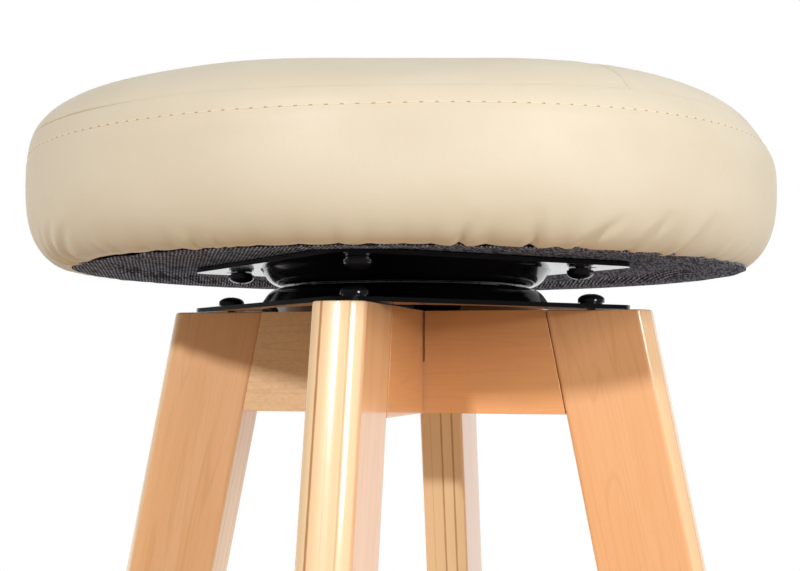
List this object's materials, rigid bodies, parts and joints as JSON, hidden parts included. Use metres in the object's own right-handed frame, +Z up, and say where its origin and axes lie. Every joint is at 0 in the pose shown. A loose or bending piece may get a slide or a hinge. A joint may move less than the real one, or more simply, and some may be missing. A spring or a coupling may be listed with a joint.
{
  "type": "swivel bar stool",
  "caption": "Round upholstered bar stool whose seat turns on a ball-bearing swivel over splayed laminated legs, crossed rails and a bent footrest ring.",
  "frame": {"origin": "on the floor, under the swivel axis, at the middle of the four glides", "axes": "+Z up along the swivel axis; the legs point along -Y (front), +X (right), +Y (back) and -X (left)"},
  "size_m": [0.493, 0.493, 0.7374],
  "materials": {
    "lacquered_wood": "satin clear lacquer",
    "bare_wood": "unfinished",
    "black_enamel": "gloss black enamel",
    "black_zinc": "black zinc plating",
    "bright_steel": "bright",
    "cream_leather": "satin leather-look cover",
    "pale_foam": "open-cell foam",
    "dark_cloth": "woven twill",
    "white_nylon": "moulded"
  },
  "bodies": {
    "base": {"leg_front": "lacquered_wood", "leg_right": "lacquered_wood", "leg_back": "lacquered_wood", "leg_left": "lacquered_wood", "rail_left_right": "lacquered_wood", "rail_front_back": "lacquered_wood", "dowel_front_upper": "bare_wood", "dowel_front_lower": "bare_wood", "dowel_right_upper": "bare_wood", "dowel_right_lower": "bare_wood", "dowel_back_upper": "bare_wood", "dowel_back_lower": "bare_wood", "dowel_left_upper": "bare_wood", "dowel_left_lower": "bare_wood", "footrest_ring": "lacquered_wood", "footrest_screw_front": "bright_steel", "footrest_screw_right": "bright_steel", "footrest_screw_back": "bright_steel", "footrest_screw_left": "bright_steel", "glide_front": "white_nylon", "glide_right": "white_nylon", "glide_back": "white_nylon", "glide_left": "white_nylon", "lower_swivel_plate": "black_enamel", "leg_screw_front": "black_zinc", "leg_screw_right": "black_zinc", "leg_screw_back": "black_zinc", "leg_screw_left": "black_zinc", "swivel_rivet": "black_zinc"},
    "bearing": {"bearing_ball_01": "bright_steel", "bearing_ball_02": "bright_steel", "bearing_ball_03": "bright_steel", "bearing_ball_04": "bright_steel", "bearing_ball_05": "bright_steel", "bearing_ball_06": "bright_steel", "bearing_ball_07": "bright_steel", "bearing_ball_08": "bright_steel", "bearing_ball_09": "bright_steel", "bearing_ball_10": "bright_steel", "bearing_ball_11": "bright_steel", "bearing_ball_12": "bright_steel", "ball_retainer": "bright_steel"},
    "seat": {"upper_swivel_plate": "black_enamel", "seat_screw_front": "black_zinc", "seat_screw_right": "black_zinc", "seat_screw_back": "black_zinc", "seat_screw_left": "black_zinc", "seat_board": "bare_wood", "seat_foam": "pale_foam", "seat_panel_front": "cream_leather", "seat_panel_right": "cream_leather", "seat_panel_back": "cream_leather", "seat_panel_left": "cream_leather", "seat_side_band": "cream_leather", "dust_cover": "dark_cloth"}
  },
  "joints": [
    {"name": "seat_swivel", "type": "hinge", "parent": "base", "child": "seat", "pos_m": [0, 0, 0.6371], "axis": [0, 0, 1], "continuous": true},
    {"name": "bearing_roll", "type": "hinge", "parent": "base", "child": "bearing", "pos_m": [0, 0, 0.6371], "axis": [0, 0, 1], "continuous": true}
  ],
  "couplings": [
    {"joint": "bearing_roll", "follows": "seat_swivel", "ratio": 0.5}
  ]
}
